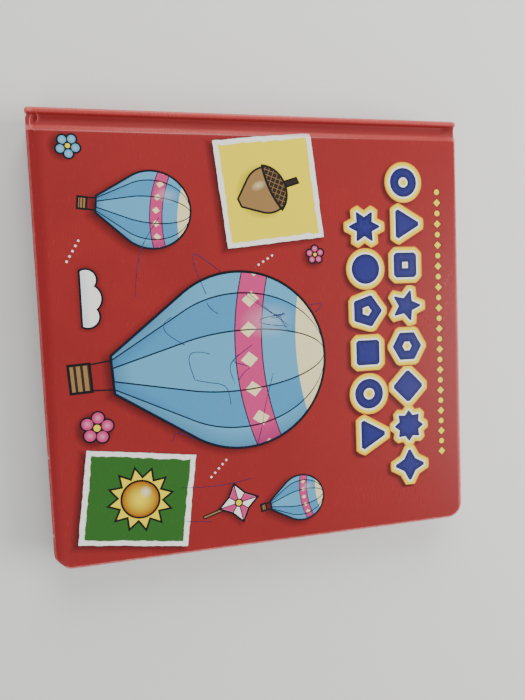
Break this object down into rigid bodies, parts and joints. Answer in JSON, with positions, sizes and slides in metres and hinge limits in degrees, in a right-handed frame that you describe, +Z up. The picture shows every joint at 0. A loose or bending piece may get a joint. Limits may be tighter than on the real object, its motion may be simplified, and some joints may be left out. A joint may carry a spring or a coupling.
{
  "type": "board book",
  "caption": "Square hardback board book with rounded fore-edge corners, grooved hinged covers, thick card pages and lift-up flaps.",
  "frame": {"origin": "on the table, under the middle of the closed book's footprint", "axes": "+X from the spine to the fore-edge, +Y from tail to head, +Z up out of the front cover"},
  "size_m": [0.2, 0.201, 0.0191],
  "materials": {
    "laminated_wrap": "printed paper with gloss lamination, worn at the edges",
    "greyboard": "bare grey book board",
    "page_card": "thick white card with printed, satin faces",
    "flap_card": "thin printed card, satin"
  },
  "bodies": {
    "back_cover": {"back_board": "greyboard", "back_wrap": "laminated_wrap", "page_block": "page_card", "wide_flap": "flap_card", "round_flap": "flap_card"},
    "spine": {"spine_board": "greyboard", "spine_wrap": "laminated_wrap"},
    "front_cover": {"front_board": "greyboard", "front_wrap": "laminated_wrap", "front_pastedown": "page_card"}
  },
  "joints": [
    {"name": "back_hinge", "type": "hinge", "parent": "back_cover", "child": "spine", "pos_m": [-0.0971, 0, 0.0029], "axis": [0, -1, 0], "range_deg": [0, 90]},
    {"name": "front_hinge", "type": "hinge", "parent": "spine", "child": "front_cover", "pos_m": [-0.0971, 0, 0.0162], "axis": [0, -1, 0], "range_deg": [0, 90]}
  ]
}
